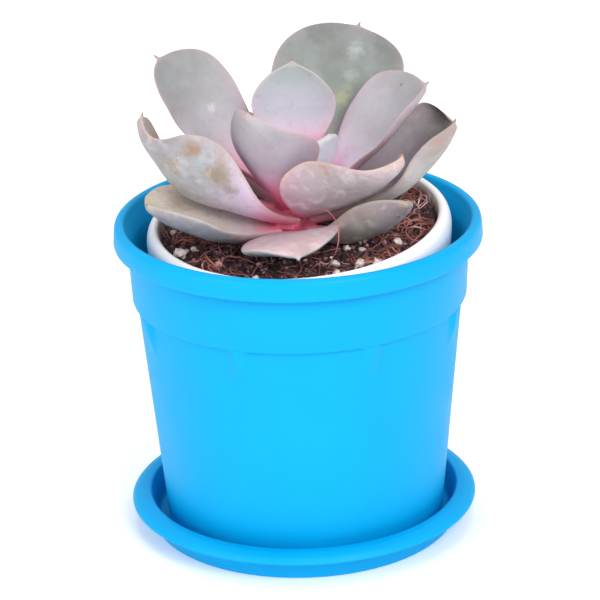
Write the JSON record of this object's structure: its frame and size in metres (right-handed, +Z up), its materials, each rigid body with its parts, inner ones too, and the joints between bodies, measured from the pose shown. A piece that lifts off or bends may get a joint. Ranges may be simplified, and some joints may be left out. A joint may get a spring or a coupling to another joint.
{
  "type": "potted succulent",
  "caption": "Potted succulent: an open rosette of fleshy grey-lavender leaves in a leaning white nursery pot inside a round blue ribbed planter on its saucer.",
  "frame": {"origin": "centre of the box's underside, on the surface that the saucer stands on", "axes": "+Z up along the planter's axis, -Y towards the front, where the low cream-edged leaf lies, +X to the right"},
  "size_m": [0.1208, 0.1208, 0.1587],
  "materials": {
    "blue_plastic": "injection-moulded polypropylene, satin to glossy",
    "white_plastic": "thin moulded polypropylene, satin",
    "potting_mix": "damp peat and coir, crumbly",
    "stem_skin": "fleshy, slightly glossy",
    "leaf_skin": "fleshy leaf with a powdery grey bloom",
    "perlite": "expanded mineral grain, rough and dull",
    "coir": "dry plant fibre"
  },
  "bodies": {
    "root": {"saucer": "blue_plastic", "planter": "blue_plastic", "nursery_pot": "white_plastic", "potting_mix": "potting_mix", "stem": "stem_skin", "leaf_back_left": "leaf_skin", "leaf_back_low": "leaf_skin", "leaf_back_tall": "leaf_skin", "leaf_front_low": "leaf_skin", "leaf_front_right": "leaf_skin", "leaf_front_young": "leaf_skin", "leaf_left_low": "leaf_skin", "leaf_left_outer": "leaf_skin", "leaf_left_tall": "leaf_skin", "leaf_middle_young": "leaf_skin", "leaf_right_low": "leaf_skin", "leaf_right_outer": "leaf_skin", "leaf_right_tall": "leaf_skin", "leaf_youngest": "leaf_skin", "perlite_grain_01": "perlite", "perlite_grain_02": "perlite", "perlite_grain_03": "perlite", "perlite_grain_04": "perlite", "perlite_grain_05": "perlite", "perlite_grain_06": "perlite", "perlite_grain_07": "perlite", "perlite_grain_08": "perlite", "perlite_grain_09": "perlite", "perlite_grain_10": "perlite", "perlite_grain_11": "perlite", "perlite_grain_12": "perlite", "coir_fibre_01": "coir", "coir_fibre_02": "coir", "coir_fibre_03": "coir", "coir_fibre_04": "coir", "coir_fibre_05": "coir"}
  },
  "joints": []
}
